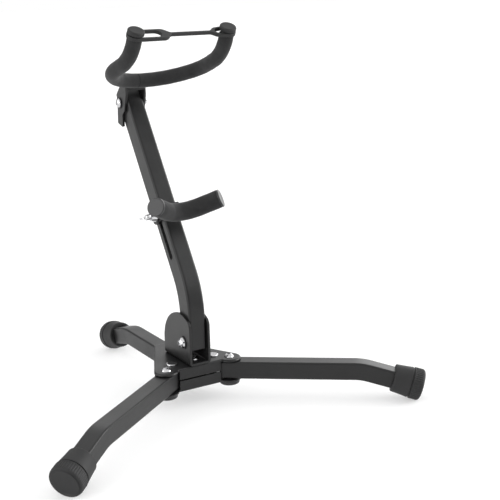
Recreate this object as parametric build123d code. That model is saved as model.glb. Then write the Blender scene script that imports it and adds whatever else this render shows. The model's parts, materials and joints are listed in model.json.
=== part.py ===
from build123d import *
from math import cos, radians, sin
import os

os.makedirs("parts", exist_ok=True)

# Folding saxophone stand. Millimetres, +Z up, floor at z = 0.
# -Y is the front, where the instrument leans; the fixed leg points to the rear along +Y.
# Every part is modelled around the hub's centre line and moved by HUB_Y when it is written,
# so that the origin lies on the floor at the middle of the footprint.
HUB_Y = -20.54

# Legs: square tube, straight out of the hub, bent down at the end into a rubber foot.
HUB_Z = 25.5
TUBE = 15.0
TUBE_WALL = 1.2
TUBE_CORNER = 1.6
LEG_TILT = 15.4
LEG_BEND_AT = 112.0
LEG_BEND_R = 45.0
LEG_TAIL = 7.0
REAR_TAIL = 14.5
LEG_ANGLE = 52.7
TUBE_IN_FOOT = 43.5

# Foot: a round collar that flares to a tread band with a rounded end.
FOOT_R = 13.3
FOOT_ROUND = 3.0
FOOT_FLAT = 0.35
FOOT_COLLAR_R = 11.6
FOOT_START = 26.5
FOOT_GROOVE_AT = 41.2
FOOT_GROOVE = 1.2
SOCKET_FIT = 0.03

# Hub: two pressed plates with folded flanges that almost meet at mid height.
PLATE = 2.0
HUB_GAP = 16.4
FLANGE_GAP = 1.3
PIVOT_X = 29.5
PIVOT_Y = -15.9
LOBE_R = 10.0
HUB_FRONT = -19.65
HUB_FRONT_HALF = 19.35
HUB_REAR = 47.0
HUB_REAR_HALF = 9.6
SIDE_FLANGE_FROM = 13.0
RIVET_X = 19.4
RIVET_Y = -6.0
CLAMP_YS = (-9.0, 14.0)

# Fasteners.
BOLT_R = 2.5
BOLT_HOLE_R = 2.55
HEAD_R = 4.3
HEAD_H = 2.6
HEX_KEY_R = 1.7
THIN_NUT_H = 2.5
LOCK_NUT_H = 3.6
NUT_FLATS = 8.0
SPACER_R = 5.0
SPACER_T = 0.68
WASHER_R = 5.6
WASHER_T = 0.8
THREAD_END = 0.6
NUT_CAP_R = 8.6
NUT_CAP_H = 3.2
NUT_CAP_WALL = 0.6
RIVET_R = 3.0
RIVET_HEAD_R = 4.7
RIVET_HEAD_H = 1.3

# Post: rectangular tube in the plane x = 0, upright at the foot, then leaning to the rear.
POST_X = 15.0
POST_Y = 18.0
POST_CORNER = 2.0
POST_CENTRE_Y = -9.0
POST_FOOT_Z = 48.2
KNEE_Z = 93.0
KNEE_R = 65.0
LEAN = 33.1
POST_TOP = 187.5
PIVOT_Z = 53.7
SLOT_LOW = 32.7
SLOT_HIGH = 83.0
SLOT_W = 5.1
PLUG_T = 1.5
PLUG_STEM = 4.0

# Clevis that carries the post on the hub.
EAR = 2.0
EAR_GAP = 0.1
EAR_FRONT = -20.5
EAR_ARC_Y = -3.3
EAR_ARC_Z = 48.9
EAR_ARC_R = 28.6

# Padded rest that slides along the post.
REST_AT = 72.3
REST_GAP = 16.9
REST_DROP = 8.6
REST_R = 23.0
REST_SPREAD = 40.7
REST_ARM = 18.0
WING_TURN = 17.0
REST_RISE = 34.1
REST_FOAM_R = 7.55
STEM_R = 4.0
STEM_DROP = 2.3
REST_CHEEK_H = 12.0
REST_CHEEK_R = 4.5

# Padded yoke at the top.
ROD_R = 3.5
FOAM_FIT = 0.03
YOKE_AT = 180.1
YOKE_BACK = 2.5
YOKE_Y = 62.0
YOKE_Z = 263.0
YOKE_TILT = 19.3
YOKE_R = 41.5
YOKE_TURN = 92.3
YOKE_ARM = 9.0
YOKE_UP_R = 38.8
YOKE_UP = 43.0
YOKE_FOAM_R = 6.05
YOKE_TAIL = 3.0
WEB_FRONT = 76.5
WEB_LOW = 253.9
WEB_BEND = 2.2
CHEEK_CORNER = 1.2
CHEEK_SQUARE_TOP = 6.0
SEAT_GROOVE = 0.5
SEAT_FRONT = 60.5
YOKE_THREAD_END = 3.5
YOKE_HEAD_R = 3.9
YOKE_HEAD_H = 2.3
YOKE_WASHER_R = 4.8

# Rubber caps and strap.
NECK_R = 4.5
NECK_L = 3.7
CAP_R = 6.7
CAP_H = 3.4
CAP_ROUND = 1.3
CAP_EDGE = 0.5
STRAP_AT = 1.85
STRAP_H = 3.0
STRAP_T = 2.2
STRAP_LONG_EYE = 21.8
STRAP_SHORT_EYE = 8.5
STRAP_SHORT_R = 5.5
STRAP_BLEND = 4.0
STRAP_PLAY = 0.25
STRAP_TAPER = 0.1

LEG_TOP = HUB_Z + TUBE / 2
PLATE_LOW = HUB_Z + HUB_GAP / 2
PLATE_TOP = PLATE_LOW + PLATE
EAR_INNER = POST_X / 2 + EAR_GAP
EAR_OUTER = EAR_INNER + EAR
EAR_REAR = EAR_ARC_Y + EAR_ARC_R
EAR_BASE_TOP = PLATE_TOP + EAR
WEB_TOP = YOKE_Z - YOKE_FOAM_R + 0.6


def save(node, *shapes):
    """Write one node's solids at their place in the part's frame."""
    solids = [Pos(0, HUB_Y, 0) * solid for shape in shapes for solid in shape.solids()]
    export_step(Compound(children=solids), f"parts/{node}.step")


def mirrored(shape):
    """Return a copy of the shape on the other side of the plane x = 0."""
    return mirror(shape, about=Plane.YZ)


def upside_down(shape):
    """Return a copy of the shape mirrored about the hub's middle plane."""
    return mirror(shape, about=Plane.XY.offset(HUB_Z))


def post_point(along, across=0.0):
    """Return a point on the leaning part of the post: along from the knee, across to the rear."""
    lean = radians(LEAN)
    y = POST_CENTRE_Y + along * sin(lean) + across * cos(lean)
    z = KNEE_Z + along * cos(lean) - across * sin(lean)
    return Vector(0, y, z)


def post_plane(along):
    """Plane across the leaning post: x to the right, y to the rear, z up along the post."""
    lean = radians(LEAN)
    return Plane(post_point(along), x_dir=(1, 0, 0), z_dir=(0, sin(lean), cos(lean)))


def tube_section(plane, width, depth, corner):
    """Hollow rectangular tube section drawn on a plane."""
    inner_corner = max(corner - TUBE_WALL, 0.4)
    outer = RectangleRounded(width, depth, corner)
    inner = RectangleRounded(width - 2 * TUBE_WALL, depth - 2 * TUBE_WALL, inner_corner)
    return plane * (outer - inner)


# Fasteners, each along +Z with the bearing face under its head at z = 0.


def screw(length, radius=BOLT_R, head_r=HEAD_R, head_h=HEAD_H):
    """Button-head screw with a hex socket: a head above z = 0 and a shank below."""
    ball_r = (head_r**2 + head_h**2) / (2 * head_h)
    head = Cylinder(head_r, head_h, align=(Align.CENTER, Align.CENTER, Align.MIN))
    head = head & Pos(0, 0, head_h - ball_r) * Sphere(ball_r)
    socket = extrude(RegularPolygon(HEX_KEY_R, 6), head_h * 0.6)
    head = head - Pos(0, 0, head_h * 0.45) * socket
    shank = Pos(0, 0, -length / 2) * Cylinder(radius, length)
    shank = chamfer(shank.edges().sort_by(Axis.Z)[0], radius * 0.2)
    return head + shank


def hex_nut(height, flats=NUT_FLATS, bore=BOLT_R, collar=0.0):
    """Hex nut standing on z = 0, with an optional round nylon collar on top."""
    body = extrude(RegularPolygon(flats / 2, 6, major_radius=False), height - collar)
    crown = Cone(flats * 0.62, flats * 0.44, height * 1.4, align=(Align.CENTER, Align.CENTER, Align.MIN))
    nut = body & Pos(0, 0, -height * 0.25) * crown
    if collar > 0:
        ring = Cylinder(flats * 0.42, collar, align=(Align.CENTER, Align.CENTER, Align.MIN))
        nut = nut + Pos(0, 0, height - collar) * ring
    return nut - Cylinder(bore, height * 3)


def nut_cap():
    """Round plastic cover over a nut, open at z = 0 where it meets the plate."""
    cover = Cylinder(NUT_CAP_R, NUT_CAP_H, align=(Align.CENTER, Align.CENTER, Align.MIN))
    cover = fillet(cover.edges().sort_by(Axis.Z)[-1], NUT_CAP_H * 0.55)
    room = Cylinder(NUT_FLATS * 0.6, NUT_CAP_H - NUT_CAP_WALL, align=(Align.CENTER, Align.CENTER, Align.MIN))
    return cover - room


def washer(outer_r, thickness, bore=BOLT_HOLE_R):
    """Flat washer standing on z = 0."""
    disc = Cylinder(outer_r, thickness, align=(Align.CENTER, Align.CENTER, Align.MIN))
    return disc - Cylinder(bore, thickness * 3)


def across(x, y, z, to_left):
    """Location of a fastener whose +Z points outward along -X or +X."""
    turn = -90 if to_left else 90
    return Pos(x, y, z) * Rot(0, turn, 0)


# Legs and feet.


def leg_tube(tail, hole_xs):
    """Leg along +X from its hole at the origin, bent down towards the foot."""
    tilt = radians(LEG_TILT)
    end = (LEG_BEND_AT + TUBE_IN_FOOT * cos(tilt), 0, -TUBE_IN_FOOT * sin(tilt))
    path = FilletPolyline((-tail, 0, 0), (LEG_BEND_AT, 0, 0), end, radius=LEG_BEND_R)
    start = Plane((-tail, 0, 0), x_dir=(0, 1, 0), z_dir=(1, 0, 0))
    tube = sweep(tube_section(start, TUBE, TUBE, TUBE_CORNER), path=path)
    for x in hole_xs:
        tube = tube - Pos(x, 0, 0) * Cylinder(BOLT_HOLE_R, TUBE * 2)
    return tube


def foot_reach():
    """Distance from the bend to the foot's tread edge that puts the tread on the floor."""
    tilt = radians(LEG_TILT)
    return (HUB_Z + FOOT_FLAT - (FOOT_R - FOOT_ROUND) * cos(tilt) - FOOT_ROUND) / sin(tilt)


def rubber_foot():
    """Rubber foot, turned about the tilted end of the leg, bored square and flattened where it stands."""
    tread = foot_reach()
    edge = FOOT_ROUND * sin(radians(45))
    with BuildPart() as foot:
        with BuildSketch(Plane.XZ) as outline:
            with BuildLine():
                Polyline(
                    (FOOT_START, 0),
                    (FOOT_START, FOOT_COLLAR_R - 0.8),
                    (FOOT_START + 0.8, FOOT_COLLAR_R),
                    (FOOT_GROOVE_AT, FOOT_R - 0.4),
                    (FOOT_GROOVE_AT, FOOT_R - 1.1),
                    (FOOT_GROOVE_AT + FOOT_GROOVE, FOOT_R - 1.1),
                    (FOOT_GROOVE_AT + FOOT_GROOVE, FOOT_R),
                    (tread, FOOT_R),
                )
                middle = (tread + edge, FOOT_R - FOOT_ROUND + edge)
                ThreePointArc((tread, FOOT_R), middle, (tread + FOOT_ROUND, FOOT_R - FOOT_ROUND))
                Polyline((tread + FOOT_ROUND, FOOT_R - FOOT_ROUND), (tread + FOOT_ROUND, 0), (FOOT_START, 0))
            make_face()
        revolve(axis=Axis.X)
    socket_side = TUBE + 2 * SOCKET_FIT
    socket = extrude(Plane.YZ * RectangleRounded(socket_side, socket_side, TUBE_CORNER), TUBE_IN_FOOT)
    solid = foot.part - socket
    placed = Pos(LEG_BEND_AT, 0, 0) * Rot(0, LEG_TILT, 0) * solid
    floor = Box(400, 100, 20, align=(Align.CENTER, Align.CENTER, Align.MAX))
    return placed - Pos(0, 0, -HUB_Z) * floor


def place_front(shape, side):
    """Turn a leg part from +X to its front leg; side is 1 for the right leg, -1 for the left."""
    turn = LEG_ANGLE - 90 if side > 0 else 270 - LEG_ANGLE
    return Pos(side * PIVOT_X, PIVOT_Y, HUB_Z) * Rot(0, 0, turn) * shape


def place_rear(shape):
    """Turn a leg part from +X to the rear leg."""
    return Pos(0, 0, HUB_Z) * Rot(0, 0, 90) * shape


# Hub.


def hub_outline():
    """Plan of a hub plate: a tapered tongue over the rear leg and a round lobe at each front leg."""
    lobes = Pos(PIVOT_X, PIVOT_Y) * Circle(LOBE_R) + Pos(-PIVOT_X, PIVOT_Y) * Circle(LOBE_R)
    tongue = Pos(0, HUB_REAR - 1) * Rectangle(2 * HUB_REAR_HALF, 2)
    plan = make_hull((lobes + tongue).edges())
    front = Rectangle(2 * PIVOT_X, LOBE_R * 2, align=(Align.CENTER, Align.MAX))
    return plan - Pos(0, HUB_FRONT) * front + lobes


def hub_plate_top():
    """Upper hub plate with its front and side flanges folded down."""
    plan = hub_outline()
    flange_low = HUB_Z + FLANGE_GAP / 2
    height = PLATE_TOP - flange_low
    solid = extrude(Pos(0, 0, flange_low) * plan, height)
    rims = [e for e in solid.faces().sort_by(Axis.Z)[-1].outer_wire().edges()]
    solid = fillet(rims, PLATE * 0.8)
    inner = offset(plan, -PLATE, kind=Kind.INTERSECTION)
    solid = solid - extrude(Pos(0, 0, flange_low - 1) * inner, height - PLATE + 1)
    clear_h = PLATE_LOW - flange_low + 1
    sweep_side = LOBE_R * 4
    window = Box(sweep_side, SIDE_FLANGE_FROM + 60, clear_h, align=(Align.MIN, Align.MAX, Align.MAX))
    window = Pos(HUB_FRONT_HALF, SIDE_FLANGE_FROM, PLATE_LOW) * window
    rear_w = 2 * (HUB_REAR_HALF - PLATE)
    rear = Box(rear_w, 10, clear_h, align=(Align.CENTER, Align.CENTER, Align.MAX))
    solid = solid - window - mirrored(window) - Pos(0, HUB_REAR, PLATE_LOW) * rear
    return solid


def hub_holes():
    """Drills for the pivots, rivets and clamp screws."""
    drills = Part()
    for side in (1, -1):
        drills += Pos(side * PIVOT_X, PIVOT_Y, HUB_Z) * Cylinder(BOLT_HOLE_R, 60)
        drills += Pos(side * RIVET_X, RIVET_Y, HUB_Z) * Cylinder(RIVET_R * 0.7, 60)
    for y in CLAMP_YS:
        drills += Pos(0, y, HUB_Z) * Cylinder(BOLT_HOLE_R, 60)
    return drills


def hub_rivet():
    """Shouldered rivet that ties the two hub plates, with a flat head outside each plate."""
    body = Cylinder(RIVET_R, HUB_GAP)
    tenon = Cylinder(RIVET_R * 0.7, HUB_GAP + 2 * PLATE)
    head = Cylinder(RIVET_HEAD_R, RIVET_HEAD_H, align=(Align.CENTER, Align.CENTER, Align.MIN))
    head = fillet(head.edges().sort_by(Axis.Z)[-1], RIVET_HEAD_H * 0.6)
    head = Pos(0, 0, HUB_GAP / 2 + PLATE) * head
    return body + tenon + head + mirror(head, about=Plane.XY)


def build_hub():
    """Write the hub plates, rivets, leg pivots, spacers and clamp screws."""
    top = hub_plate_top()
    save("hub_top_plate", top - hub_holes())
    save("hub_bottom_plate", upside_down(top) - hub_holes())

    plate_bottom = 2 * HUB_Z - PLATE_TOP
    nut_low = plate_bottom - THIN_NUT_H
    spacers = []
    pivots = []
    nuts = []
    caps = []
    rivets = []
    for side in (1, -1):
        at = Pos(side * PIVOT_X, PIVOT_Y, 0)
        pivots.append(at * Pos(0, 0, PLATE_TOP) * screw(PLATE_TOP - nut_low))
        nuts.append(at * Pos(0, 0, plate_bottom) * Rot(180, 0, 0) * hex_nut(THIN_NUT_H))
        caps.append(at * Pos(0, 0, plate_bottom) * Rot(180, 0, 0) * nut_cap())
        rivets.append(Pos(side * RIVET_X, RIVET_Y, HUB_Z) * hub_rivet())
        spacers.append(at * Pos(0, 0, PLATE_LOW - SPACER_T) * washer(SPACER_R, SPACER_T))
        spacers.append(at * Pos(0, 0, HUB_Z - HUB_GAP / 2) * washer(SPACER_R, SPACER_T))
    clamps = []
    clamp_nuts = []
    for y in CLAMP_YS:
        at = Pos(0, y, 0)
        clamps.append(at * Pos(0, 0, EAR_BASE_TOP) * screw(EAR_BASE_TOP - nut_low))
        clamp_nuts.append(at * Pos(0, 0, plate_bottom) * Rot(180, 0, 0) * hex_nut(THIN_NUT_H))
        spacers.append(at * Pos(0, 0, PLATE_LOW - SPACER_T) * washer(SPACER_R, SPACER_T))
        spacers.append(at * Pos(0, 0, HUB_Z - HUB_GAP / 2) * washer(SPACER_R, SPACER_T))
    save("hub_rivets", *rivets)
    save("leg_pivot_screws", *pivots)
    save("leg_pivot_nuts", *nuts)
    save("leg_pivot_nut_caps", *caps)
    save("hub_spacer_washers", *spacers)
    save("clevis_screws", *clamps)
    save("clevis_nuts", *clamp_nuts)


def build_legs():
    """Write the three legs and their rubber feet."""
    for name, side in (("right", 1), ("left", -1)):
        save(f"leg_{name}", place_front(leg_tube(LEG_TAIL, (0,)), side))
        save(f"foot_{name}", place_front(rubber_foot(), side))
    save("leg_rear", place_rear(leg_tube(REAR_TAIL, CLAMP_YS)))
    save("foot_rear", place_rear(rubber_foot()))


# Clevis and post.


def build_clevis():
    """Write the U bracket that stands on the hub and the bolt that carries the post."""
    arc = Pos(EAR_ARC_Y, EAR_ARC_Z) * Circle(EAR_ARC_R)
    below = Rectangle(2 * EAR_ARC_R, EAR_ARC_Z - PLATE_TOP, align=(Align.CENTER, Align.MAX))
    limit = Rectangle(EAR_REAR - EAR_FRONT, 60, align=(Align.MIN, Align.MIN))
    ear = (arc + Pos(EAR_ARC_Y, EAR_ARC_Z) * below) & Pos(EAR_FRONT, PLATE_TOP) * limit
    front_top = ear.vertices().filter_by(lambda v: v.Y > EAR_ARC_Z).sort_by(Axis.X)[0]
    ear = fillet(front_top, 7.0)
    block = extrude(Plane.YZ.offset(-EAR_OUTER) * ear, 2 * EAR_OUTER)
    low_edges = block.edges().filter_by(Axis.Y).sort_by(Axis.Z)[:2]
    block = fillet(low_edges, EAR * 1.2)
    slot_w = 2 * EAR_INNER
    slot = Box(slot_w, 100, 80, align=(Align.CENTER, Align.CENTER, Align.MIN))
    slot = fillet(slot.edges().filter_by(Axis.Y).sort_by(Axis.Z)[:2], EAR * 0.3)
    clevis = block - Pos(0, 0, EAR_BASE_TOP) * slot
    clevis = clevis - Pos(0, POST_CENTRE_Y, PIVOT_Z) * Rot(0, 90, 0) * Cylinder(BOLT_HOLE_R, 60)
    for y in CLAMP_YS:
        clevis = clevis - Pos(0, y, PLATE_TOP) * Cylinder(BOLT_HOLE_R, 20)
    save("post_clevis", clevis)

    washer_face = EAR_OUTER + WASHER_T
    left = across(-EAR_OUTER, POST_CENTRE_Y, PIVOT_Z, True)
    right = across(EAR_OUTER, POST_CENTRE_Y, PIVOT_Z, False)
    washers = [left * washer(WASHER_R, WASHER_T), right * washer(WASHER_R, WASHER_T)]
    length = 2 * washer_face + LOCK_NUT_H + THREAD_END
    bolt = across(-washer_face, POST_CENTRE_Y, PIVOT_Z, True) * screw(length, head_r=4.75, head_h=3.5)
    nut = across(washer_face, POST_CENTRE_Y, PIVOT_Z, False) * hex_nut(LOCK_NUT_H, collar=1.2)
    save("post_pivot_washers", *washers)
    save("post_pivot_bolt", bolt)
    save("post_pivot_nut", nut)


def build_post():
    """Write the bent post with its height slot, and its top plug."""
    path = FilletPolyline(
        (0, POST_CENTRE_Y, POST_FOOT_Z), (0, POST_CENTRE_Y, KNEE_Z), post_point(POST_TOP), radius=KNEE_R
    )
    foot_plane = Plane((0, POST_CENTRE_Y, POST_FOOT_Z), x_dir=(1, 0, 0), z_dir=(0, 0, 1))
    post = sweep(tube_section(foot_plane, POST_X, POST_Y, POST_CORNER), path=path)
    post = post - Pos(0, POST_CENTRE_Y, PIVOT_Z) * Rot(0, 90, 0) * Cylinder(BOLT_HOLE_R, 60)
    pivot = post_point(YOKE_AT, YOKE_BACK)
    post = post - Pos(0, pivot.Y, pivot.Z) * Rot(0, 90, 0) * Cylinder(BOLT_HOLE_R, 60)
    span = SLOT_HIGH - SLOT_LOW - SLOT_W
    middle = post_plane((SLOT_LOW + SLOT_HIGH) / 2)
    slot_plane = Plane(middle.origin, x_dir=middle.z_dir, z_dir=(1, 0, 0))
    slot = extrude(slot_plane * SlotCenterToCenter(span, SLOT_W), 30, both=True)
    save("post_tube", post - slot)

    top = post_plane(POST_TOP)
    cap = extrude(top * RectangleRounded(POST_X, POST_Y, POST_CORNER), PLUG_T)
    cap = fillet(cap.faces().sort_by(Axis(top.origin, top.z_dir))[-1].edges(), PLUG_T * 0.6)
    inside_x = POST_X - 2 * TUBE_WALL
    inside_y = POST_Y - 2 * TUBE_WALL
    stem = extrude(top * RectangleRounded(inside_x, inside_y, POST_CORNER - TUBE_WALL), -PLUG_STEM)
    save("post_top_plug", cap + stem)


# Rods with foam: the same centre line carries the steel rod and the foam sleeve around it.


def round_sweep(path, start, direction, outer_r, inner_r=0.0):
    """Round bar or sleeve along a path that starts at a point in a direction."""
    plane = Plane(start, z_dir=direction)
    section = Circle(outer_r)
    if inner_r > 0:
        section = section - Circle(inner_r)
    return sweep(plane * section, path=path)


def bar(start, end, radius):
    """Round bar between two points."""
    length = (end - start).length
    return Plane(start, z_dir=end - start) * Cylinder(radius, length, align=(Align.CENTER, Align.CENTER, Align.MIN))


def rest_frame():
    """Origin and forward-up direction of the rest's bow."""
    origin = post_point(REST_AT - REST_DROP, -POST_Y / 2 - REST_GAP)
    rise = radians(REST_RISE)
    return origin, Vector(0, -cos(rise), sin(rise))


def rest_path(arm):
    """Centre line of the rest: an arc across the post with a straight arm on each side."""
    origin, forward = rest_frame()
    side = Vector(1, 0, 0)
    spread = radians(REST_SPREAD)
    rim = side * (REST_R * sin(spread)) + forward * (REST_R * (1 - cos(spread)))
    ahead = side * cos(spread) + forward * sin(spread)
    rim_left = Vector(-rim.X, rim.Y, rim.Z)
    ahead_left = Vector(-ahead.X, ahead.Y, ahead.Z)
    right = origin + rim
    left = origin + rim_left
    left_end = left + ahead_left * arm
    path = Wire(
        [
            Edge.make_line(left_end, left),
            Edge.make_three_point_arc(left, origin, right),
            Edge.make_line(right, right + ahead * arm),
        ]
    )
    return path, left_end, ahead_left * -1, right + ahead * arm, ahead


def build_rest():
    """Write the sliding bracket, the padded bow and the clamp of the rest."""
    origin, forward = rest_frame()
    path, start, heading, right_end, ahead = rest_path(REST_ARM)
    rod = round_sweep(path, start, heading, ROD_R)
    foam = round_sweep(path, start, heading, REST_FOAM_R, ROD_R + FOAM_FIT)

    at = post_plane(REST_AT)
    half = POST_Y / 2
    rear = half - 1.0
    front = -half - EAR_GAP - EAR
    block = Box(2 * EAR_OUTER, rear - front, REST_CHEEK_H, align=(Align.CENTER, Align.MAX, Align.CENTER))
    block = at * Pos(0, rear, 0) * block
    hollow_len = rear - front
    hollow = Box(2 * EAR_INNER, hollow_len, REST_CHEEK_H + 10, align=(Align.CENTER, Align.MIN, Align.CENTER))
    hollow = at * Pos(0, front + EAR, 0) * hollow
    bracket = block - hollow
    upright = Axis(at.origin, at.z_dir)
    bends = bracket.edges().filter_by(upright).sort_by(Axis(at.origin, at.y_dir))[:2]
    bracket = fillet(bends, EAR)
    tips = bracket.edges().filter_by(Axis.X).sort_by(Axis(at.origin, at.y_dir))[-4:]
    bracket = fillet(tips, REST_CHEEK_R)
    bracket = bracket - at * Rot(0, 90, 0) * Cylinder(BOLT_HOLE_R, 60)

    web = post_point(REST_AT - STEM_DROP, front + EAR)
    stem_end = origin + (web - origin).normalized() * (ROD_R + FOAM_FIT)
    front_of_web = at * Pos(0, front + EAR / 2, 0) * Box(60, 60, 60, align=(Align.CENTER, Align.MAX, Align.CENTER))
    bracket = bracket + (bar(web, stem_end, STEM_R) & front_of_web)
    foam = foam - bar(web, origin, STEM_R + FOAM_FIT)
    save("rest_rod", rod)
    save("rest_foam", foam)
    save("rest_bracket", bracket)

    plug = Cylinder(REST_FOAM_R, 1.6, align=(Align.CENTER, Align.CENTER, Align.MIN))
    plug = fillet(plug.edges().sort_by(Axis.Z)[-1], 0.8)
    right_plug = Plane(right_end, z_dir=ahead).location * plug
    save("rest_end_plugs", right_plug, mirrored(right_plug))

    centre = at.origin
    head_face = EAR_OUTER + WASHER_T
    washers = [
        across(-EAR_OUTER, centre.Y, centre.Z, True) * washer(WASHER_R, WASHER_T),
        across(EAR_OUTER, centre.Y, centre.Z, False) * washer(WASHER_R, WASHER_T),
    ]
    bolt = across(head_face, centre.Y, centre.Z, False) * screw(2 * head_face + 9.0)
    wing = across(-head_face - 0.05, centre.Y, centre.Z, True) * Rot(0, 0, WING_TURN) * wing_nut()
    save("rest_clamp_washers", *washers)
    save("rest_clamp_bolt", bolt)
    save("rest_wing_nut", wing)


def wing_nut():
    """Wing nut along +Z: a conical hub with two flared wings along its own y axis."""
    hub = Cone(4.6, 3.7, 4.5, align=(Align.CENTER, Align.CENTER, Align.MIN))
    wing = Plane.YZ * make_hull(
        (
            Pos(2.5, 1.6) * Circle(1.2)
            + Pos(4.5, 3.2) * Circle(1.4)
            + Pos(9.5, 7.6) * Circle(2.4)
            + Pos(7.0, 7.0) * Circle(2.0)
        ).edges()
    )
    blade = extrude(wing, 0.9, both=True)
    blade = blade + mirror(blade, about=Plane.XZ)
    return hub + blade - Cylinder(BOLT_R + FOAM_FIT, 40)


def yoke_points():
    """Right half of the yoke's centre line: points of its two arcs and the end heading."""
    tilt = radians(YOKE_TILT)
    side = Vector(1, 0, 0)
    forward = Vector(0, -cos(tilt), sin(tilt))
    normal = Vector(0, sin(tilt), cos(tilt))
    origin = Vector(0, YOKE_Y, YOKE_Z)

    def around(angle):
        turn = radians(angle)
        return origin + side * (YOKE_R * sin(turn)) + forward * (YOKE_R * (1 - cos(turn)))

    turn = radians(YOKE_TURN)
    ahead = side * cos(turn) + forward * sin(turn)
    rise_from = around(YOKE_TURN) + ahead * YOKE_ARM

    def rising(angle):
        up = radians(angle)
        return rise_from + ahead * (YOKE_UP_R * sin(up)) + normal * (YOKE_UP_R * (1 - cos(up)))

    up = radians(YOKE_UP)
    heading = ahead * cos(up) + normal * sin(up)
    return origin, around(YOKE_TURN / 2), around(YOKE_TURN), rise_from, rising(YOKE_UP / 2), rising(YOKE_UP), heading


def flip(point):
    """Return the point on the other side of the plane x = 0."""
    return Vector(-point.X, point.Y, point.Z)


def yoke_path(extra):
    """Whole centre line of the yoke, with a straight end of the given length on each side."""
    _, half_way, turned, rise_from, rise_mid, rise_end, heading = yoke_points()
    tip = rise_end + heading * extra
    edges = []
    if extra > 0:
        edges.append(Edge.make_line(flip(tip), flip(rise_end)))
    edges.append(Edge.make_three_point_arc(flip(rise_end), flip(rise_mid), flip(rise_from)))
    edges.append(Edge.make_line(flip(rise_from), flip(turned)))
    edges.append(Edge.make_three_point_arc(flip(turned), Vector(0, YOKE_Y, YOKE_Z), turned))
    edges.append(Edge.make_line(turned, rise_from))
    edges.append(Edge.make_three_point_arc(rise_from, rise_mid, rise_end))
    if extra > 0:
        edges.append(Edge.make_line(rise_end, tip))
    return Wire(edges), flip(tip), flip(heading) * -1


def yoke_cap():
    """Rubber mushroom cap along +Z from the end of the foam: a neck, then a rounded head."""
    neck = Cylinder(NECK_R, NECK_L, align=(Align.CENTER, Align.CENTER, Align.MIN))
    head = Cylinder(CAP_R, CAP_H, align=(Align.CENTER, Align.CENTER, Align.MIN))
    head = fillet(head.edges().sort_by(Axis.Z)[-1], CAP_ROUND)
    head = fillet(head.edges().sort_by(Axis.Z)[0], CAP_EDGE)
    return neck + Pos(0, 0, NECK_L) * head


def yoke_bracket_cheek():
    """Side plate of the yoke bracket: wide at the pivot, with a narrow tail behind the post."""
    pivot = post_point(YOKE_AT, YOKE_BACK)
    rear_edge = [(-3.0, WEB_TOP - pivot.Z), (5.4, 6.8), (4.0, 1.0), (5.3, -17.5), (-4.2, -20.6)]
    front_edge = [(-5.0, -9.6), (-9.3, -6.0), (-12.0, 2.0)]
    corners = [(pivot.Y + back, pivot.Z + up) for back, up in rear_edge + front_edge]
    outline = make_face(Polyline((WEB_FRONT, WEB_TOP), *corners, (WEB_FRONT, WEB_LOW), close=True))
    lower_corners = outline.vertices().filter_by(lambda v: v.Y < WEB_TOP - CHEEK_SQUARE_TOP)
    return fillet(lower_corners, CHEEK_CORNER)


def build_yoke_bracket(rod):
    """Bent plate bracket: two cheeks, a front web, and a seat that is shaped to the rod."""
    cheek = yoke_bracket_cheek()
    block = extrude(Plane.YZ.offset(-EAR_OUTER) * cheek, 2 * EAR_OUTER)
    bends = block.edges().filter_by(Axis.Z).sort_by(Axis.Y)[:2]
    block = fillet(bends, WEB_BEND)
    inside_w = 2 * EAR_INNER
    inside = Box(inside_w, 80, 120, align=(Align.CENTER, Align.MIN, Align.CENTER))
    below_web = Box(inside_w, 80, 60, align=(Align.CENTER, Align.CENTER, Align.MAX))
    bracket = block - Pos(0, WEB_FRONT + EAR, YOKE_Z) * inside - Pos(0, WEB_FRONT, WEB_LOW) * below_web
    seat_top = YOKE_Z - ROD_R + SEAT_GROOVE
    web = Box(inside_w, EAR, seat_top - WEB_LOW, align=(Align.CENTER, Align.MIN, Align.MIN))
    seat_len = WEB_FRONT + EAR - SEAT_FRONT
    seat = Box(inside_w, seat_len, EAR, align=(Align.CENTER, Align.MAX, Align.MAX))
    bracket = bracket + Pos(0, WEB_FRONT, WEB_LOW) * web + Pos(0, WEB_FRONT + EAR, seat_top) * seat - rod
    pivot = post_point(YOKE_AT, YOKE_BACK)
    return bracket - Pos(0, pivot.Y, pivot.Z) * Rot(0, 90, 0) * Cylinder(BOLT_HOLE_R, 60)


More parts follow.
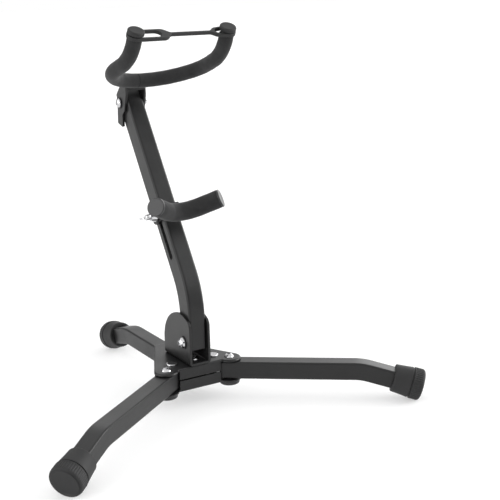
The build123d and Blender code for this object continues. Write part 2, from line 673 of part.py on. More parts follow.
def build_yoke():
    """Write the yoke's bracket, rod, foam, rubber caps, strap and pivot."""
    path, start, heading = yoke_path(YOKE_TAIL + NECK_L + CAP_H / 2)
    rod = round_sweep(path, start, heading, ROD_R)
    save("yoke_rod", rod)
    save("yoke_bracket", build_yoke_bracket(rod))

    foam_line, foam_start, foam_heading = yoke_path(YOKE_TAIL)
    foam = round_sweep(foam_line, foam_start, foam_heading, YOKE_FOAM_R, ROD_R + FOAM_FIT)
    seat_top = YOKE_Z - ROD_R + SEAT_GROOVE
    notch = Box(2 * EAR_OUTER + 0.2, 40, 20, align=(Align.CENTER, Align.MIN, Align.MAX))
    save("yoke_foam", foam - Pos(0, SEAT_FRONT - FOAM_FIT, seat_top + FOAM_FIT) * notch)

    foam_end = yoke_points()[5]
    end_heading = yoke_points()[6]
    foam_end = foam_end + end_heading * YOKE_TAIL
    right = Plane(foam_end, z_dir=end_heading, x_dir=(0, end_heading.Z, -end_heading.Y)).location
    cap = right * yoke_cap() - rod
    save("yoke_end_caps", cap, mirrored(cap))
    build_strap(foam_end, end_heading)

    pivot = post_point(YOKE_AT, YOKE_BACK)
    washer_face = EAR_OUTER + WASHER_T
    length = washer_face + EAR_OUTER + THIN_NUT_H + YOKE_THREAD_END
    bolt = screw(length, head_r=YOKE_HEAD_R, head_h=YOKE_HEAD_H)
    bolt = across(-washer_face, pivot.Y, pivot.Z, True) * bolt
    nut = across(EAR_OUTER, pivot.Y, pivot.Z, False) * hex_nut(THIN_NUT_H)
    save("yoke_pivot_washer", across(-EAR_OUTER, pivot.Y, pivot.Z, True) * washer(YOKE_WASHER_R, WASHER_T))
    save("yoke_pivot_bolt", bolt)
    save("yoke_pivot_nut", nut)


def build_strap(foam_end, heading):
    """Write the rubber strap that closes the yoke, with an eye around each cap's neck."""
    up = Vector(0, heading.Y, heading.Z).normalized()
    middle = foam_end + heading * STRAP_AT
    reach = middle.X
    plane = Plane(Vector(0, middle.Y, middle.Z), x_dir=(1, 0, 0), z_dir=up)
    eye = NECK_R + STRAP_PLAY
    rim = eye + STRAP_T
    long_at = STRAP_LONG_EYE - reach
    short_at = reach - STRAP_SHORT_EYE
    outer_left = make_hull((Pos(-reach, 0) * Circle(rim) + Pos(long_at, 0) * Circle(rim - STRAP_TAPER)).edges())
    outer_right = make_hull((Pos(reach, 0) * Circle(rim) + Pos(short_at, 0) * Circle(STRAP_SHORT_R)).edges())
    far_r = eye - STRAP_TAPER
    inner_left = make_hull((Pos(-reach, 0) * Circle(eye) + Pos(long_at - far_r, 0) * Circle(far_r)).edges())
    short_hole_r = STRAP_SHORT_R - STRAP_T
    inner_right = make_hull((Pos(reach, 0) * Circle(eye) + Pos(short_at, 0) * Circle(short_hole_r)).edges())
    band = Pos((long_at + short_at) / 2, 0) * Rectangle(short_at - long_at, STRAP_T)
    outline = outer_left + outer_right + band
    joins = outline.vertices().filter_by(lambda v: abs(abs(v.Y) - STRAP_T / 2) < 0.01)
    outline = fillet(joins, STRAP_BLEND) - inner_left - inner_right
    strap = extrude(plane * outline, STRAP_H / 2, both=True)
    save("yoke_strap", strap)


build_hub()
build_legs()
build_clevis()
build_post()
build_rest()
build_yoke()
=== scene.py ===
import json
import math

import bpy
from mathutils import Matrix, Vector


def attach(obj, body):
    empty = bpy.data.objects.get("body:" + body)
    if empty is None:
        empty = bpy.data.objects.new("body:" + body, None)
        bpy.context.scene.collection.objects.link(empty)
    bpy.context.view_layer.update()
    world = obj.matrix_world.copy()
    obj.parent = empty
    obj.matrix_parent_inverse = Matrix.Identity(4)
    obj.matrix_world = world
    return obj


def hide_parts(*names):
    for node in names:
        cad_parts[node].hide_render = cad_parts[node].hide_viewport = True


# Folding saxophone stand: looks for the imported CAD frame. Lengths are in millimetres and are
# measured from the hub's centre line on the floor; at() turns them into the frame's metres.
MM = 0.001

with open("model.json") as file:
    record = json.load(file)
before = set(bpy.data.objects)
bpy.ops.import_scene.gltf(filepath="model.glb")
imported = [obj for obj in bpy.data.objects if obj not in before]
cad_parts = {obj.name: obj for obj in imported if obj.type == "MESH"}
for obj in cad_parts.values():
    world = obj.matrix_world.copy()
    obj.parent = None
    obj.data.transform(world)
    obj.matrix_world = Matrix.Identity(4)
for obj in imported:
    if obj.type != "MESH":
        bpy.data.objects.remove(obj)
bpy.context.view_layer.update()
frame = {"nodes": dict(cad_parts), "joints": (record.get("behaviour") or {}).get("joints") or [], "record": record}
joints = {joint["name"]: joint for joint in frame["joints"]}
POST_PIVOT_Y = -9.0
HUB_Y = joints["post_fold"]["pos_m"][1] / MM - POST_PIVOT_Y

# Legs and feet.
HUB_Z = 25.5
LEG_PIVOT = (29.5, -15.9)
LEG_AZIMUTH = -37.3
LEG_BEND_AT = 112.0
LEG_TILT = 15.4
FOOT_R = 13.3
FOOT_ROUND = 3.0
FOOT_FLAT = 0.35
FOOT_START = 26.5
FOOT_COLLAR_R = 11.6
FOOT_GROOVE_AT = 41.2
FOOT_GROOVE = 1.2
FOOT_RIBS = 44
FOOT_RIB_DEPTH = 0.4
RIB_ROUNDNESS = 0.6
RIB_MARGIN = 0.4
RIB_OVERRUN = 1.6
RIB_FADE_IN = 0.6
RIB_FADE_OUT = 1.2
FOOT_RING_DEPTH = 0.5
SOCKET_HALF = 7.53

# Padded rest.
REST_CENTRE = (0.0, 4.09, 160.51)
REST_RISE = 34.1
REST_R = 23.0
REST_SPREAD = 40.7
REST_ARM = 18.0
REST_FOAM_R = 7.55

# Padded yoke, rubber caps and strap.
YOKE_CENTRE = (0.0, 62.0, 263.0)
YOKE_TILT = 19.3
YOKE_R = 41.5
YOKE_TURN = 92.3
YOKE_ARM = 9.0
YOKE_UP_R = 38.8
YOKE_UP = 43.0
YOKE_FOAM_R = 6.05
YOKE_SEAM_AT = -7.1
YOKE_FRONT_DEPTH = 3.0
FOAM_SOFT = 0.35
FOAM_SLACK = 0.05
FOAM_STEP = 0.9
NECK_R = 4.5
YOKE_TAIL = 3.0
NECK_L = 3.7
CAP_R = 6.7
CAP_H = 3.4
CAP_ROUND = 1.3
CAP_EDGE = 0.5
STRAP_AT = 1.85
STRAP_H = 3.0
STRAP_T = 2.2
STRAP_LONG_EYE = 21.8
STRAP_SHORT_EYE = 8.5
STRAP_SHORT_R = 5.5
STRAP_BLEND = 4.0
STRAP_PLAY = 0.15
STRAP_TAPER = 0.1
STRAP_HOLE_BACK = 0.5
STRAP_EDGE = 0.5
STRAP_SMOOTH_BELOW = 50
FLARE_START = 0.42
FLARE_LENGTH = 0.55

# Tones, in linear light.
WORN_TONE = (0.035, 0.035, 0.036)
MOST_WEAR = 0.12
DUST_TONE = (0.16, 0.155, 0.15)
# Colour multiplier that darkens the foam's pores: painted shade.
PAINTED_PORE_SHADE = (0.55, 0.55, 0.55)
RUBBER_DARK = (0.010, 0.010, 0.0104)
RUBBER_LIGHT = (0.017, 0.017, 0.0174)
SMALL_DARK = (0.010, 0.010, 0.0103)
SMALL_LIGHT = (0.016, 0.016, 0.0163)
PLASTIC_DARK = (0.014, 0.014, 0.015)
PLASTIC_LIGHT = (0.022, 0.022, 0.023)

# Height in metres up to which floor dust shows on the feet.
DUST_TOP = 0.004

# Stage: half the width of the floor between its walls in metres, and the floor's own tone and glow.
STAGE = 15.0
FLOOR_TONE = 0.55
FLOOR_GLOW = 0.45
SKY_STRENGTH = 0.06

# Soft distant lights: name, direction it comes from, strength and spread in degrees.
SUNS = (
    ("sun_above", (0, 0, 1), 2.6, 130),
    ("sun_left", (-0.86, 0.38, 0.34), 0.8, 45),
    ("sun_left_low", (-0.95, -0.25, 0.15), 1.35, 45),
    ("sun_right", (0.86, -0.40, 0.31), 2.6, 45),
    ("sun_behind", (0.45, 0.85, 0.28), 0.35, 45),
    ("sun_right_behind", (0.85, 0.5, 0.15), 1.0, 45),
)

# Camera: place in mm, then yaw, pitch and roll in degrees.
CAMERA_PLACE = (-387.4, -748.3, 339.1)
CAMERA_TURNS = (-31.86, 14.42, -1.25)
CAMERA_LENS = 76.1
CAMERA_SHIFT = (-0.0305, 0.011)

SIDE = Vector((1, 0, 0))


def at(x, y, z):
    """Point in the frame's metres from hub-based millimetres."""
    return Vector((x, y + HUB_Y, z)) * MM


# ---------------------------------------------------------------- materials


def node(tree, kind, **values):
    """Add a shader node and set its plain inputs by name, with spaces written as underscores."""
    made = tree.nodes.new(kind)
    for key, value in values.items():
        made.inputs[key.replace("_", " ")].default_value = value
    return made


def new_material(name):
    """Empty node material: returns it with its tree and its Principled node."""
    material = bpy.data.materials.new(name)
    material.use_nodes = True
    return material, material.node_tree, material.node_tree.nodes["Principled BSDF"]


def noise(tree, scale, detail=3.0, roughness=0.55):
    """Noise in object space; the scale is in cycles per metre."""
    where = tree.nodes.new("ShaderNodeTexCoord")
    made = node(tree, "ShaderNodeTexNoise", Scale=scale, Detail=detail, Roughness=roughness)
    tree.links.new(where.outputs["Object"], made.inputs["Vector"])
    return made.outputs["Fac"]


def ramp(tree, value, low, high, from_low=0.3, from_high=0.7):
    """Map a factor to a range of plain values."""
    made = node(
        tree,
        "ShaderNodeMapRange",
        From_Min=from_low,
        From_Max=from_high,
        To_Min=low,
        To_Max=high,
    )
    tree.links.new(value, made.inputs["Value"])
    return made.outputs["Result"]


def mixed(tree, factor, first, second, blend="MIX"):
    """Blend from one colour to another by a factor. The first may also be another node's output."""
    made = tree.nodes.new("ShaderNodeMix")
    made.data_type = "RGBA"
    made.blend_type = blend
    if isinstance(first, tuple):
        made.inputs["A"].default_value = (*first, 1)
    else:
        tree.links.new(first, made.inputs["A"])
    made.inputs["B"].default_value = (*second, 1)
    tree.links.new(factor, made.inputs["Factor"])
    return made.outputs["Result"]


def bumped(tree, shader, heights, edge=0.0):
    """Chain bumps of (height, distance in metres, strength) over softened edges into the shader."""
    normal = None
    if edge > 0:
        soft = node(tree, "ShaderNodeBevel", Radius=edge)
        soft.samples = 6
        normal = soft.outputs["Normal"]
    for height, distance, strength in heights:
        bump = node(tree, "ShaderNodeBump", Distance=distance, Strength=strength)
        tree.links.new(height, bump.inputs["Height"])
        if normal is not None:
            tree.links.new(normal, bump.inputs["Normal"])
        normal = bump.outputs["Normal"]
    tree.links.new(normal, shader.inputs["Normal"])


def edge_wear(tree, radius):
    """Factor that is 1 on sharp edges and 0 on flat faces."""
    soft = node(tree, "ShaderNodeBevel", Radius=radius)
    soft.samples = 6
    flat = tree.nodes.new("ShaderNodeNewGeometry")
    dot = tree.nodes.new("ShaderNodeVectorMath")
    dot.operation = "DOT_PRODUCT"
    tree.links.new(soft.outputs["Normal"], dot.inputs[0])
    tree.links.new(flat.outputs["Normal"], dot.inputs[1])
    return ramp(tree, dot.outputs["Value"], 1.0, 0.0, 0.86, 0.995)


def powder_coat():
    """Fine-textured satin black powder coat, a little worn and paler along its edges."""
    material, tree, shader = new_material("black_powder_coat")
    grain = noise(tree, 2600, 2.0)
    orange_peel = noise(tree, 420, 2.0)
    cloud = noise(tree, 38, 4.0)
    worn = edge_wear(tree, 0.0007)
    base = mixed(tree, ramp(tree, cloud, 0, 1), (0.007, 0.007, 0.0072), (0.0115, 0.0115, 0.0118))
    tone = mixed(tree, ramp(tree, worn, 0.0, MOST_WEAR, 0.0, 1.0), base, WORN_TONE)
    tree.links.new(tone, shader.inputs["Base Color"])
    tree.links.new(ramp(tree, cloud, 0.31, 0.42), shader.inputs["Roughness"])
    shader.inputs["Specular IOR Level"].default_value = 0.37
    bumped(tree, shader, [(orange_peel, 0.00006, 0.35), (grain, 0.00003, 0.45)], edge=0.0005)
    return material


def bright_steel():
    """Bright plated steel with faint wiping marks."""
    material, tree, shader = new_material("bright_steel")
    cloud = noise(tree, 260, 3.0)
    shader.inputs["Metallic"].default_value = 1.0
    plated = mixed(tree, ramp(tree, cloud, 0, 1), (0.50, 0.50, 0.51), (0.66, 0.66, 0.67))
    tree.links.new(plated, shader.inputs["Base Color"])
    tree.links.new(ramp(tree, cloud, 0.08, 0.17), shader.inputs["Roughness"])
    bumped(tree, shader, [(noise(tree, 1900, 3.0), 0.00001, 0.25)], edge=0.00025)
    return material


def black_steel():
    """Blackened steel washers."""
    material, tree, shader = new_material("black_steel")
    cloud = noise(tree, 300, 3.0)
    shader.inputs["Metallic"].default_value = 0.35
    tone = mixed(tree, ramp(tree, cloud, 0, 1), (0.010, 0.010, 0.011), (0.024, 0.024, 0.026))
    tree.links.new(tone, shader.inputs["Base Color"])
    tree.links.new(ramp(tree, cloud, 0.32, 0.5), shader.inputs["Roughness"])
    bumped(tree, shader, [(noise(tree, 2400, 2.0), 0.00001, 0.3)], edge=0.0002)
    return material


def rubber(name, dark, light, rough, dust=0.0):
    """Moulded rubber: a faint matt bloom and fine pitting, with optional floor dust low down."""
    material, tree, shader = new_material(name)
    cloud = noise(tree, 70, 4.0)
    tone = mixed(tree, ramp(tree, cloud, 0, 1), dark, light)
    if dust > 0:
        place = tree.nodes.new("ShaderNodeTexCoord")
        split = tree.nodes.new("ShaderNodeSeparateXYZ")
        tree.links.new(place.outputs["Object"], split.inputs["Vector"])
        low = ramp(tree, split.outputs["Z"], dust, 0.0, 0.0, DUST_TOP)
        tone = mixed(tree, low, tone, DUST_TONE)
    tree.links.new(tone, shader.inputs["Base Color"])
    tree.links.new(ramp(tree, cloud, rough - 0.06, rough + 0.08), shader.inputs["Roughness"])
    shader.inputs["Specular IOR Level"].default_value = 0.4
    bumped(tree, shader, [(noise(tree, 1700, 3.0), 0.00004, 0.35)], edge=0.0003)
    return material


def foam_skin(name, dark, light):
    """Closed-cell foam sleeve: matt, finely pored, with soft mottling; painted shade darkens the pores."""
    material, tree, shader = new_material(name)
    cloud = noise(tree, 55, 5.0, 0.6)
    pores = tree.nodes.new("ShaderNodeTexVoronoi")
    pores.inputs["Scale"].default_value = 1500
    where = tree.nodes.new("ShaderNodeTexCoord")
    tree.links.new(where.outputs["Object"], pores.inputs["Vector"])
    tone = mixed(tree, ramp(tree, cloud, 0, 1, 0.35, 0.65), dark, light)
    # Painted shade: the colour is darkened in the pores, where the bumps sink in.
    pore_shade_mask = ramp(tree, pores.outputs["Distance"], 0.7, 0.0, 0.05, 0.4)
    tree.links.new(mixed(tree, pore_shade_mask, tone, PAINTED_PORE_SHADE, "MULTIPLY"), shader.inputs["Base Color"])
    shader.inputs["Roughness"].default_value = 0.86
    shader.inputs["Specular IOR Level"].default_value = 0.3
    shader.inputs["Sheen Weight"].default_value = 0.12
    shader.inputs["Sheen Roughness"].default_value = 0.4
    wrinkle = noise(tree, 130, 3.0)
    grain = noise(tree, 1100, 4.0, 0.7)
    heights = [(wrinkle, 0.0003, 0.3), (pores.outputs["Distance"], 0.00009, 0.5), (grain, 0.00007, 0.6)]
    bumped(tree, shader, heights)
    return material


def moulded_plastic(name, tone, light, rough):
    """Moulded plastic with a light spark-eroded grain."""
    material, tree, shader = new_material(name)
    cloud = noise(tree, 60, 3.0)
    tree.links.new(mixed(tree, ramp(tree, cloud, 0, 1), tone, light), shader.inputs["Base Color"])
    tree.links.new(ramp(tree, cloud, rough - 0.05, rough + 0.06), shader.inputs["Roughness"])
    bumped(tree, shader, [(noise(tree, 1500, 2.0), 0.00003, 0.35)], edge=0.0004)
    return material


def make_materials():
    """One material for each slot of the record."""
    return {
        "black_powder_coat": powder_coat(),
        "bright_steel": bright_steel(),
        "black_steel": black_steel(),
        "foot_rubber": rubber("foot_rubber", RUBBER_DARK, RUBBER_LIGHT, 0.6, dust=0.25),
        "cap_rubber": rubber("cap_rubber", SMALL_DARK, SMALL_LIGHT, 0.6),
        "strap_rubber": rubber("strap_rubber", SMALL_DARK, SMALL_LIGHT, 0.55),
        "foam": foam_skin("foam", (0.015, 0.015, 0.0155), (0.025, 0.025, 0.0255)),
        "black_plastic": moulded_plastic("black_plastic", PLASTIC_DARK, PLASTIC_LIGHT, 0.32),
    }


# ---------------------------------------------------------------- meshes


def make_piece(name, verts, faces, body, slot_name, smooth=True):
    """Mesh piece in the frame's metres that rides on a body and takes its slot's material."""
    mesh = bpy.data.meshes.new(name)
    mesh.from_pydata([tuple(v) for v in verts], [], faces)
    mesh.update()
    for face in mesh.polygons:
        face.use_smooth = smooth
    piece = bpy.data.objects.new(name, mesh)
    bpy.context.scene.collection.objects.link(piece)
    mesh.materials.append(MATERIALS[slot_name])
    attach(piece, body)
    return piece


def grid_faces(rows, around):
    """Quads of a closed tube of rings, with no end faces."""
    faces = []
    for i in range(rows - 1):
        for j in range(around):
            k = (j + 1) % around
            faces.append((i * around + j, i * around + k, (i + 1) * around + k, (i + 1) * around + j))
    return faces


def cap_faces(rows, around):
    """End faces of a tube of rings."""
    first = tuple(reversed(range(around)))
    last = tuple((rows - 1) * around + j for j in range(around))
    return [first, last]


def lathe(profile, axis_at, axis_z, around=96, radius_at=None):
    """Rings of a turned shape: profile is (along, radius) in mm, about an axis in frame metres."""
    turn = axis_z.to_track_quat("Z", "Y").to_matrix()
    verts = []
    for along, radius in profile:
        for j in range(around):
            angle = 2 * math.pi * j / around
            r = radius if radius_at is None else radius_at(along, radius, angle)
            local = Vector((r * math.cos(angle), r * math.sin(angle), along)) * MM
            verts.append(axis_at + turn @ local)
    rows = len(profile)
    return verts, grid_faces(rows, around) + cap_faces(rows, around)


def arc_profile(centre, radius, start, end, steps):
    """Points (along, radius) on a circular arc, with angles in degrees from the axis direction."""
    found = []
    for i in range(steps + 1):
        angle = math.radians(start + (end - start) * i / steps)
        found.append((centre[0] + radius * math.cos(angle), centre[1] + radius * math.sin(angle)))
    return found


def trace(start, heading, runs, step):
    """Follow runs of (length or radius, angle, toward) from a point: lines have angle 0.

    Returns (point, heading) pairs, in the units of the start point.
    """
    point = start.copy()
    found = [(point.copy(), heading.copy())]
    for size, angle, toward in runs:
        length = size if angle == 0 else size * math.radians(angle)
        count = max(2, math.ceil(length / step))
        for i in range(1, count + 1):
            if angle == 0:
                here = point + heading * (size * i / count)
                ahead = heading
            else:
                turn = math.radians(angle) * i / count
                here = point + heading * (size * math.sin(turn)) + toward * (size * (1 - math.cos(turn)))
                ahead = heading * math.cos(turn) + toward * math.sin(turn)
            found.append((here, ahead))
        point, heading = found[-1][0].copy(), found[-1][1].copy()
    return found


def tube_rings(line, up, around, radius_at):
    """Rings of a tube along (point, heading) pairs; up is a direction never parallel to them."""
    verts = []
    gone = 0.0
    for i, (point, heading) in enumerate(line):
        if i > 0:
            gone += (point - line[i - 1][0]).length
        side = up.cross(heading).normalized()
        over = heading.cross(side).normalized()
        for j in range(around):
            angle = 2 * math.pi * j / around
            r = radius_at(gone, angle)
            verts.append(at(*(point + side * (r * math.cos(angle)) + over * (r * math.sin(angle)))))
    return verts


def foam_sleeve(name, line, up, radius, body, around=64):
    """Foam sleeve with softly rounded cut ends and a slightly uneven skin."""
    total = sum((line[i + 1][0] - line[i][0]).length for i in range(len(line) - 1))

    def radius_at(gone, angle):
        near_end = max(0.0, 1 - min(gone, total - gone) / FOAM_SOFT)
        rounding = FOAM_SOFT * (1 - math.sqrt(max(0.0, 1 - near_end**2)))
        along_wave = 0.035 * math.sin(gone * 0.55 + 2 * math.sin(angle))
        round_wave = 0.03 * math.sin(3 * angle + gone * 0.21)
        return radius - FOAM_SLACK - rounding + along_wave + round_wave

    verts = tube_rings(line, up, around, radius_at)
    faces = grid_faces(len(line), around) + cap_faces(len(line), around)
    piece = make_piece(name, verts, faces, body, "foam")
    for face in list(piece.data.polygons)[-2:]:
        face.use_smooth = False
    return piece


def with_close_ends(line, count=5):
    """Add points near both ends of a line, so that its rounded ends are smooth."""

    def between(a, b, distance):
        share = distance / (b[0] - a[0]).length
        return (a[0].lerp(b[0], share), a[1].lerp(b[1], share).normalized())

    spots = [FOAM_SOFT * (1 - math.cos(math.pi / 2 * (i + 1) / count)) for i in range(count)]
    head = [between(line[0], line[1], s) for s in spots]
    tail = [between(line[-1], line[-2], s) for s in reversed(spots)]
    return [line[0], *head, *line[1:-1], *tail, line[-1]]


# ---------------------------------------------------------------- the object's soft parts


def mirror_pair(pair):
    """Mirror a (point, heading) pair in the middle plane and turn its heading round."""
    point, heading = pair
    return (Vector((-point.x, point.y, point.z)), Vector((heading.x, -heading.y, -heading.z)))


def sloped_axes(slope):
    """Forward direction that rises by an angle in degrees, and the direction square to it."""
    angle = math.radians(slope)
    forward = Vector((0, -math.cos(angle), math.sin(angle)))
    return forward, Vector((0, math.sin(angle), math.cos(angle)))


def yoke_half():
    """Centre line of the yoke's right half, from its middle to the end of its foam."""
    forward, normal = sloped_axes(YOKE_TILT)
    bend = trace(Vector(YOKE_CENTRE), SIDE, [(YOKE_R, YOKE_TURN, forward)], FOAM_STEP)
    point, ahead = bend[-1]
    runs = [(YOKE_ARM, 0, None), (YOKE_UP_R, YOKE_UP, normal), (YOKE_TAIL, 0, None)]
    return bend + trace(point, ahead, runs, FOAM_STEP)[1:]


def build_yoke_foam():
    """Two foam sleeves that butt a little to the left of the middle of the yoke."""
    right = yoke_half()
    whole = [mirror_pair(pair) for pair in reversed(right)] + right[1:]
    _, up = sloped_axes(YOKE_TILT)

    def past_seam(point):
        return point.x > YOKE_SEAM_AT and abs(point.y - YOKE_CENTRE[1]) < YOKE_FRONT_DEPTH

    cut = next(i for i, (point, _) in enumerate(whole) if past_seam(point))
    before, after = whole[cut - 1], whole[cut]
    share = (YOKE_SEAM_AT - before[0].x) / (after[0].x - before[0].x)
    seam = (before[0].lerp(after[0], share), before[1].lerp(after[1], share).normalized())
    left_line = with_close_ends(whole[:cut] + [seam])
    right_line = with_close_ends([seam] + whole[cut:])
    left_sleeve = foam_sleeve("yoke_foam_left", left_line, up, YOKE_FOAM_R, "yoke")
    foam_sleeve("yoke_foam_right", right_line, up, YOKE_FOAM_R, "yoke")
    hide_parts("yoke_foam")
    return right[-1]


def build_rest_foam():
    """Foam sleeve of the rest."""
    forward, up = sloped_axes(REST_RISE)
    runs = [(REST_R, REST_SPREAD, forward), (REST_ARM, 0, None)]
    half = trace(Vector(REST_CENTRE), SIDE, runs, FOAM_STEP)
    whole = [mirror_pair(pair) for pair in reversed(half)] + half[1:]
    sleeve = foam_sleeve("rest_foam_sleeve", with_close_ends(whole), up, REST_FOAM_R, "rest", around=80)
    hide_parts("rest_foam")


def foot_profile():
    """Section of a rubber foot: flared collar, groove, ribbed band and an end with a ring line."""
    tilt = math.radians(LEG_TILT)
    tread = (HUB_Z + FOOT_FLAT - (FOOT_R - FOOT_ROUND) * math.cos(tilt) - FOOT_ROUND) / math.sin(tilt)
    groove_end = FOOT_GROOVE_AT + FOOT_GROOVE
    profile = [(FOOT_START + 6, SOCKET_HALF + 0.05), (FOOT_START + 0.2, SOCKET_HALF + 0.05)]
    profile += [(FOOT_START, SOCKET_HALF + 0.4), (FOOT_START, FOOT_COLLAR_R - 1.0)]
    profile += arc_profile((FOOT_START + 0.8, FOOT_COLLAR_R - 0.8), 0.8, 180, 95, 5)
    flare = FOOT_R - 0.4 - FOOT_COLLAR_R
    for i in range(1, 13):
        share = i / 12
        along = FOOT_START + 1 + (FOOT_GROOVE_AT - FOOT_START - 1.3) * share
        profile.append((along, FOOT_COLLAR_R + flare * (0.75 * share + 0.25 * share**2)))
    profile += arc_profile((FOOT_GROOVE_AT - 0.3, FOOT_R - 0.7), 0.3, 80, 0, 4)
    profile += [(FOOT_GROOVE_AT, FOOT_R - 1.1), (groove_end, FOOT_R - 1.1)]
    profile += arc_profile((groove_end + 0.35, FOOT_R - 0.35), 0.35, 180, 95, 4)
    band = [groove_end + 0.6 + (tread - groove_end - 0.6) * i / 10 for i in range(11)]
    profile += [(along, FOOT_R) for along in band]
    flat = FOOT_R - FOOT_ROUND
    profile += arc_profile((tread, flat), FOOT_ROUND, 84, 32, 8)
    profile += arc_profile((tread, flat), FOOT_ROUND - FOOT_RING_DEPTH, 28, 21, 2)
    profile += arc_profile((tread, flat), FOOT_ROUND, 17, 0, 5)
    face = tread + FOOT_ROUND
    profile += [(face, flat * share / 8) for share in range(7, 0, -1)]
    profile.append((face, 0.02))
    return profile, groove_end, tread


def build_foot(name, origin, azimuth, body):
    """Rubber foot on the tilted end of a leg, with fine ribs round its tread."""
    turn = math.radians(azimuth)
    tilt = math.radians(LEG_TILT)
    out = Vector((math.cos(turn), math.sin(turn), 0))
    axis = Vector((out.x * math.cos(tilt), out.y * math.cos(tilt), -math.sin(tilt)))
    bend = Vector(origin) + out * LEG_BEND_AT
    profile, rib_from, rib_to = foot_profile()

    def radius_at(along, radius, angle):
        into = along - rib_from - RIB_MARGIN
        left = rib_to + RIB_OVERRUN - along
        if into <= 0 or left <= 0:
            return radius
        fade = min(1.0, into / RIB_FADE_IN, left / RIB_FADE_OUT)
        wave = 0.5 + 0.5 * math.cos(FOOT_RIBS * angle)
        return radius - FOOT_RIB_DEPTH * fade * (1 - wave**RIB_ROUNDNESS)

    verts, faces = lathe(profile, at(*bend), axis, FOOT_RIBS * 6, radius_at)
    for vert in verts:
        vert.z = max(vert.z, 0.0)
    piece = make_piece(name + "_cover", verts, faces, body, "foot_rubber")
    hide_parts(name)


def build_feet():
    """The three rubber feet."""
    px, py = LEG_PIVOT
    build_foot("foot_right", (px, py, HUB_Z), LEG_AZIMUTH, "right_leg")
    build_foot("foot_left", (-px, py, HUB_Z), 180 - LEG_AZIMUTH, "left_leg")
    build_foot("foot_rear", (0, 0, HUB_Z), 90, "base")


def cap_profile():
    """Section of a yoke end cap: a neck out of the foam and a flat, soft-edged head."""
    head = NECK_L + CAP_H
    profile = [(0.0, NECK_R - 0.6), (0.0, NECK_R), (NECK_L - 0.4, NECK_R)]
    profile += [(NECK_L - 0.1, NECK_R + 0.15), (NECK_L, NECK_R + 0.5), (NECK_L, CAP_R - CAP_EDGE)]
    profile += arc_profile((NECK_L + CAP_EDGE, CAP_R - CAP_EDGE), CAP_EDGE, 180, 95, 5)
    profile += arc_profile((head - CAP_ROUND, CAP_R - CAP_ROUND), CAP_ROUND, 88, 8, 10)
    flat = CAP_R - CAP_ROUND - 0.1
    for i in range(1, 10):
        share = 1 - i / 10
        profile.append((head - 0.12 * (1 - share**2), flat * share))
    profile.append((head - 0.12, 0.02))
    return profile


def build_caps(end):
    """Rubber caps on the two ends of the yoke."""
    point, heading = end
    for name, flip in (("right", 1), ("left", -1)):
        axis = Vector((heading.x * flip, heading.y, heading.z))
        verts, faces = lathe(cap_profile(), at(point.x * flip, point.y, point.z), axis, 96)
        piece = make_piece(f"yoke_cap_{name}", verts, faces, "yoke", "cap_rubber")
        if flip > 0:
            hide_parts("yoke_end_caps")


def eye_width(s, far, near_r, far_r):
    """Half width of an eye's outline at s along it: a hull of a circle at 0 and one at far."""
    slope = (near_r - far_r) / far
    if -near_r <= s < near_r * slope:
        return math.sqrt(near_r**2 - s**2)
    if near_r * slope <= s <= far + far_r * slope:
        return (near_r - slope * s) / math.sqrt(1 - slope**2)
    if far < s < far + far_r:
        return math.sqrt(far_r**2 - (s - far) ** 2)
    return 0.0


def spread(low, high, count):
    """Values from low to high, packed closely near both."""
    return [low + (high - low) * (1 - math.cos(math.pi * i / count)) / 2 for i in range(count + 1)]


def blended(width, half_band, s, far, far_r):
    """Half width with a smooth flare from the eye's end into the band."""
    end = far + far_r
    start = end - FLARE_START * far_r
    stop = end + STRAP_BLEND * FLARE_LENGTH
    if s <= start:
        return width
    if s >= stop:
        return half_band
    share = (s - start) / (stop - start)
    high = math.sqrt(max(0.0, far_r**2 - (start - far) ** 2))
    slope = -(start - far) / high * (stop - start)
    curve = high * (2 * share**3 - 3 * share**2 + 1) + slope * (share**3 - 2 * share**2 + share)
    return max(half_band, curve + half_band * (3 * share**2 - 2 * share**3))


def strap_outlines(reach):
    """Outer outline of the strap and the outlines of its two holes, as points in its plane."""
    eye = NECK_R + STRAP_PLAY
    rim = eye + STRAP_T
    half_band = STRAP_T / 2
    long_r = rim - STRAP_TAPER
    long_flare = STRAP_LONG_EYE + long_r + STRAP_BLEND * FLARE_LENGTH
    short_flare = STRAP_SHORT_EYE + STRAP_SHORT_R + STRAP_BLEND * FLARE_LENGTH
    edge = []
    for s in spread(-rim, long_flare, 150):
        width = eye_width(s, STRAP_LONG_EYE, rim, long_r)
        edge.append((s - reach, blended(width, half_band, s, STRAP_LONG_EYE, long_r)))
    for s in reversed(spread(-rim, short_flare, 110)):
        width = eye_width(s, STRAP_SHORT_EYE, rim, STRAP_SHORT_R)
        edge.append((reach - s, blended(width, half_band, s, STRAP_SHORT_EYE, STRAP_SHORT_R)))
    outer = edge + [(x, -width) for x, width in reversed(edge[1:-1])]
    holes = []
    for turned, far, far_r in (
        (-1, STRAP_LONG_EYE - eye + STRAP_TAPER, eye - STRAP_TAPER),
        (1, STRAP_SHORT_EYE - STRAP_HOLE_BACK, STRAP_SHORT_R - STRAP_T),
    ):
        side = [(s, eye_width(s, far, eye, far_r)) for s in spread(-eye, far + far_r, 90)]
        points = [(turned * (reach - s), w) for s, w in side]
        holes.append(points + [(x, -w) for x, w in reversed(points[1:-1])])
    return [outer, *holes]


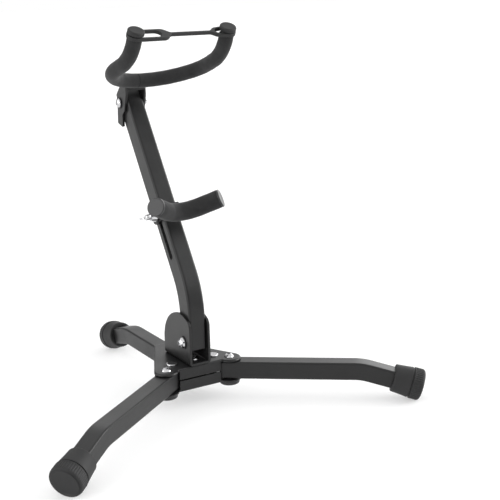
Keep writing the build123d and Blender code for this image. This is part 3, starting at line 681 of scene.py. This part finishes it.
def build_strap(end):
    """Moulded rubber strap with a long eye at the left cap and a small one at the right."""
    point, heading = end
    middle = point + heading * STRAP_AT
    curve = bpy.data.curves.new("yoke_strap_band", "CURVE")
    curve.dimensions = "2D"
    curve.fill_mode = "BOTH"
    curve.extrude = (STRAP_H / 2 - STRAP_EDGE) * MM
    curve.bevel_depth = STRAP_EDGE * MM
    curve.bevel_resolution = 4
    curve.offset = -STRAP_EDGE * MM
    for outline in strap_outlines(middle.x):
        spline = curve.splines.new("POLY")
        spline.points.add(len(outline) - 1)
        for i, (x, y) in enumerate(outline):
            spline.points[i].co = (x * MM, y * MM, 0, 1)
        spline.use_cyclic_u = True
    shape = bpy.data.objects.new("strap_shape", curve)
    bpy.context.scene.collection.objects.link(shape)
    bpy.context.view_layer.update()
    mesh = bpy.data.meshes.new_from_object(shape.evaluated_get(bpy.context.evaluated_depsgraph_get()))
    bpy.data.objects.remove(shape)
    up = Vector((0, heading.y, heading.z)).normalized()
    across = up.cross(SIDE)
    place = Matrix((SIDE, across, up)).transposed().to_4x4()
    place.translation = at(0, middle.y, middle.z)
    mesh.transform(place)
    piece = bpy.data.objects.new("yoke_strap_band", mesh)
    bpy.context.scene.collection.objects.link(piece)
    mesh.shade_smooth()
    mesh.materials.clear()
    mesh.materials.append(MATERIALS["strap_rubber"])
    smooth = piece.modifiers.new("smooth_by_angle", "EDGE_SPLIT")
    smooth.split_angle = math.radians(STRAP_SMOOTH_BELOW)
    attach(piece, "yoke")
    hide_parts("yoke_strap")


def paint_cad_nodes():
    """Give every CAD node that still shows its slot's finished material."""
    for part in frame["record"]["subparts"]:
        item = frame["nodes"][part["node"]]
        for place in item.material_slots:
            place.material = MATERIALS[part["material_slot"]]


# ---------------------------------------------------------------- stage


def pale_stage(name, corners, faces, albedo, glow):
    """Plain matt stage surface that also glows a little, so that it stays pale."""
    mesh = bpy.data.meshes.new(name)
    mesh.from_pydata(corners, [], faces)
    surface = bpy.data.objects.new(name, mesh)
    bpy.context.scene.collection.objects.link(surface)
    material, _, shader = new_material("pale_" + name)
    shader.inputs["Base Color"].default_value = (albedo, albedo, albedo, 1)
    shader.inputs["Emission Color"].default_value = (1, 1, 1, 1)
    shader.inputs["Emission Strength"].default_value = glow
    shader.inputs["Roughness"].default_value = 1.0
    shader.inputs["Specular IOR Level"].default_value = 0.0
    mesh.materials.append(material)
    return surface


def build_stage():
    """Pale floor, and far behind it pale walls all round that add no light or shadow."""
    low = [(-STAGE, -STAGE, 0), (STAGE, -STAGE, 0), (STAGE, STAGE, 0), (-STAGE, STAGE, 0)]
    high = [(x, y, STAGE) for x, y, _ in low]
    pale_stage("floor", low, [(0, 1, 2, 3)], FLOOR_TONE, FLOOR_GLOW)
    sides = [(i, (i + 1) % 4, (i + 1) % 4 + 4, i + 4) for i in range(4)]
    walls = pale_stage("walls", low + high, sides, 0.0, 1.0)
    walls.visible_diffuse = False
    walls.visible_glossy = False
    walls.visible_transmission = False
    walls.visible_shadow = False


def add_sun(name, toward, strength, spread):
    """Soft distant light that comes from a direction."""
    light = bpy.data.lights.new(name, "SUN")
    light.energy = strength
    light.angle = math.radians(spread)
    lamp = bpy.data.objects.new(name, light)
    lamp.rotation_mode = "QUATERNION"
    lamp.rotation_quaternion = Vector(toward).to_track_quat("Z", "Y")
    bpy.context.scene.collection.objects.link(lamp)


def build_lights():
    """Soft studio light: from above and behind, from the left and from the right front."""
    world = bpy.data.worlds.new("studio")
    world.use_nodes = True
    background = world.node_tree.nodes["Background"]
    background.inputs["Color"].default_value = (1, 1, 1, 1)
    background.inputs["Strength"].default_value = SKY_STRENGTH
    bpy.context.scene.world = world
    for sun in SUNS:
        add_sun(*sun)
    bpy.context.scene.view_settings.view_transform = "Standard"


def build_camera():
    """Camera at the photograph's viewing angle."""
    yaw, pitch, roll = (math.radians(angle) for angle in CAMERA_TURNS)
    look = Vector((-math.sin(yaw) * math.cos(pitch), math.cos(yaw) * math.cos(pitch), -math.sin(pitch)))
    level = Vector((math.cos(yaw), math.sin(yaw), 0))
    top = level.cross(look)
    right = level * math.cos(roll) + top * math.sin(roll)
    up = top * math.cos(roll) - level * math.sin(roll)
    data = bpy.data.cameras.new("camera")
    data.lens = CAMERA_LENS
    data.sensor_width = 36.0
    data.shift_x, data.shift_y = CAMERA_SHIFT
    data.clip_end = 200.0
    camera = bpy.data.objects.new("camera", data)
    place = Matrix((right, up, -look)).transposed().to_4x4()
    place.translation = at(*CAMERA_PLACE)
    camera.matrix_world = place
    bpy.context.scene.collection.objects.link(camera)
    bpy.context.scene.camera = camera


MATERIALS = make_materials()
build_camera()
build_lights()
build_stage()
paint_cad_nodes()
build_feet()
build_rest_foam()
yoke_end = build_yoke_foam()
build_caps(yoke_end)
build_strap(yoke_end)
